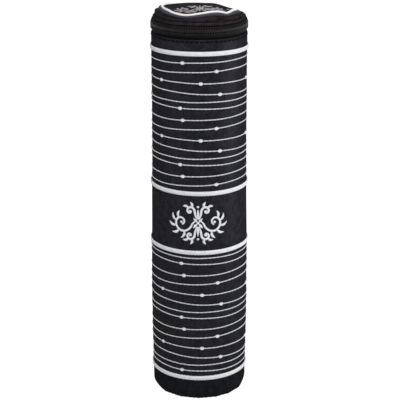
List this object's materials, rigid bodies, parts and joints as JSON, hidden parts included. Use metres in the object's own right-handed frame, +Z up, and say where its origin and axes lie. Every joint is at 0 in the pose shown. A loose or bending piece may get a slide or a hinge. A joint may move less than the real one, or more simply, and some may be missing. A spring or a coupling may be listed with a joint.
{
  "type": "megillah case",
  "caption": "Tall round scroll case of black leatherette with braided silver bands and a soft zipped lid on a hinge tab.",
  "frame": {"origin": "centre of the flat underside, on the tube's axis", "axes": "+Z up along the tube's axis, -Y the front, +Y the lid's hinge"},
  "size_m": [0.093, 0.0932, 0.3803],
  "materials": {
    "leatherette": "fine grained, satin",
    "plain_leatherette": "smooth grain, satin",
    "braid": "braided silver cord",
    "piping": "smooth covered cord",
    "board": "raw board",
    "foam": "open foam",
    "lining": "woven lining",
    "zip_tape": "woven tape",
    "zip_coil": "satin nylon",
    "slider_metal": "black, satin"
  },
  "bodies": {
    "case": {"base_disc": "leatherette", "base_cover": "leatherette", "base_pad": "foam", "base_board": "board", "board_tube": "board", "lining_floor": "lining", "lining_tube": "lining", "lower_panel": "leatherette", "centre_band": "plain_leatherette", "upper_panel": "leatherette", "collar": "plain_leatherette", "braid_1": "braid", "braid_2": "braid", "braid_3": "braid", "braid_4": "braid", "zip_tape_lower": "zip_tape", "zip_teeth_lower": "zip_coil", "hinge_tab": "leatherette", "hinge_lining": "lining"},
    "lid": {"lid_gusset": "leatherette", "lid_piping": "piping", "lid_panel": "leatherette", "lid_foam": "foam", "lid_lining": "lining", "zip_tape_upper": "zip_tape", "zip_teeth_upper": "zip_coil", "zip_tape_end_right": "zip_tape", "zip_tape_end_left": "zip_tape"},
    "slider": {"zip_slider": "slider_metal"},
    "pull": {"zip_pull": "slider_metal"}
  },
  "joints": [
    {"name": "lid_hinge", "type": "hinge", "parent": "case", "child": "lid", "pos_m": [0, 0.0467, 0.3631], "axis": [-1, 0, 0], "range_deg": [0, 175], "deforming": ["hinge_tab", "hinge_lining", "zip_tape_end_right", "zip_tape_end_left"]},
    {"name": "slider_travel", "type": "hinge", "parent": "case", "child": "slider", "pos_m": [0, 0, 0.3631], "axis": [0, 0, -1], "range_deg": [0, 293], "deforming": ["zip_teeth_lower", "zip_teeth_upper"]},
    {"name": "pull_flip", "type": "hinge", "parent": "slider", "child": "pull", "pos_m": [0.02644, 0.04024, 0.3631], "axis": [0, 0, 1], "range_deg": [0, 180]}
  ]
}
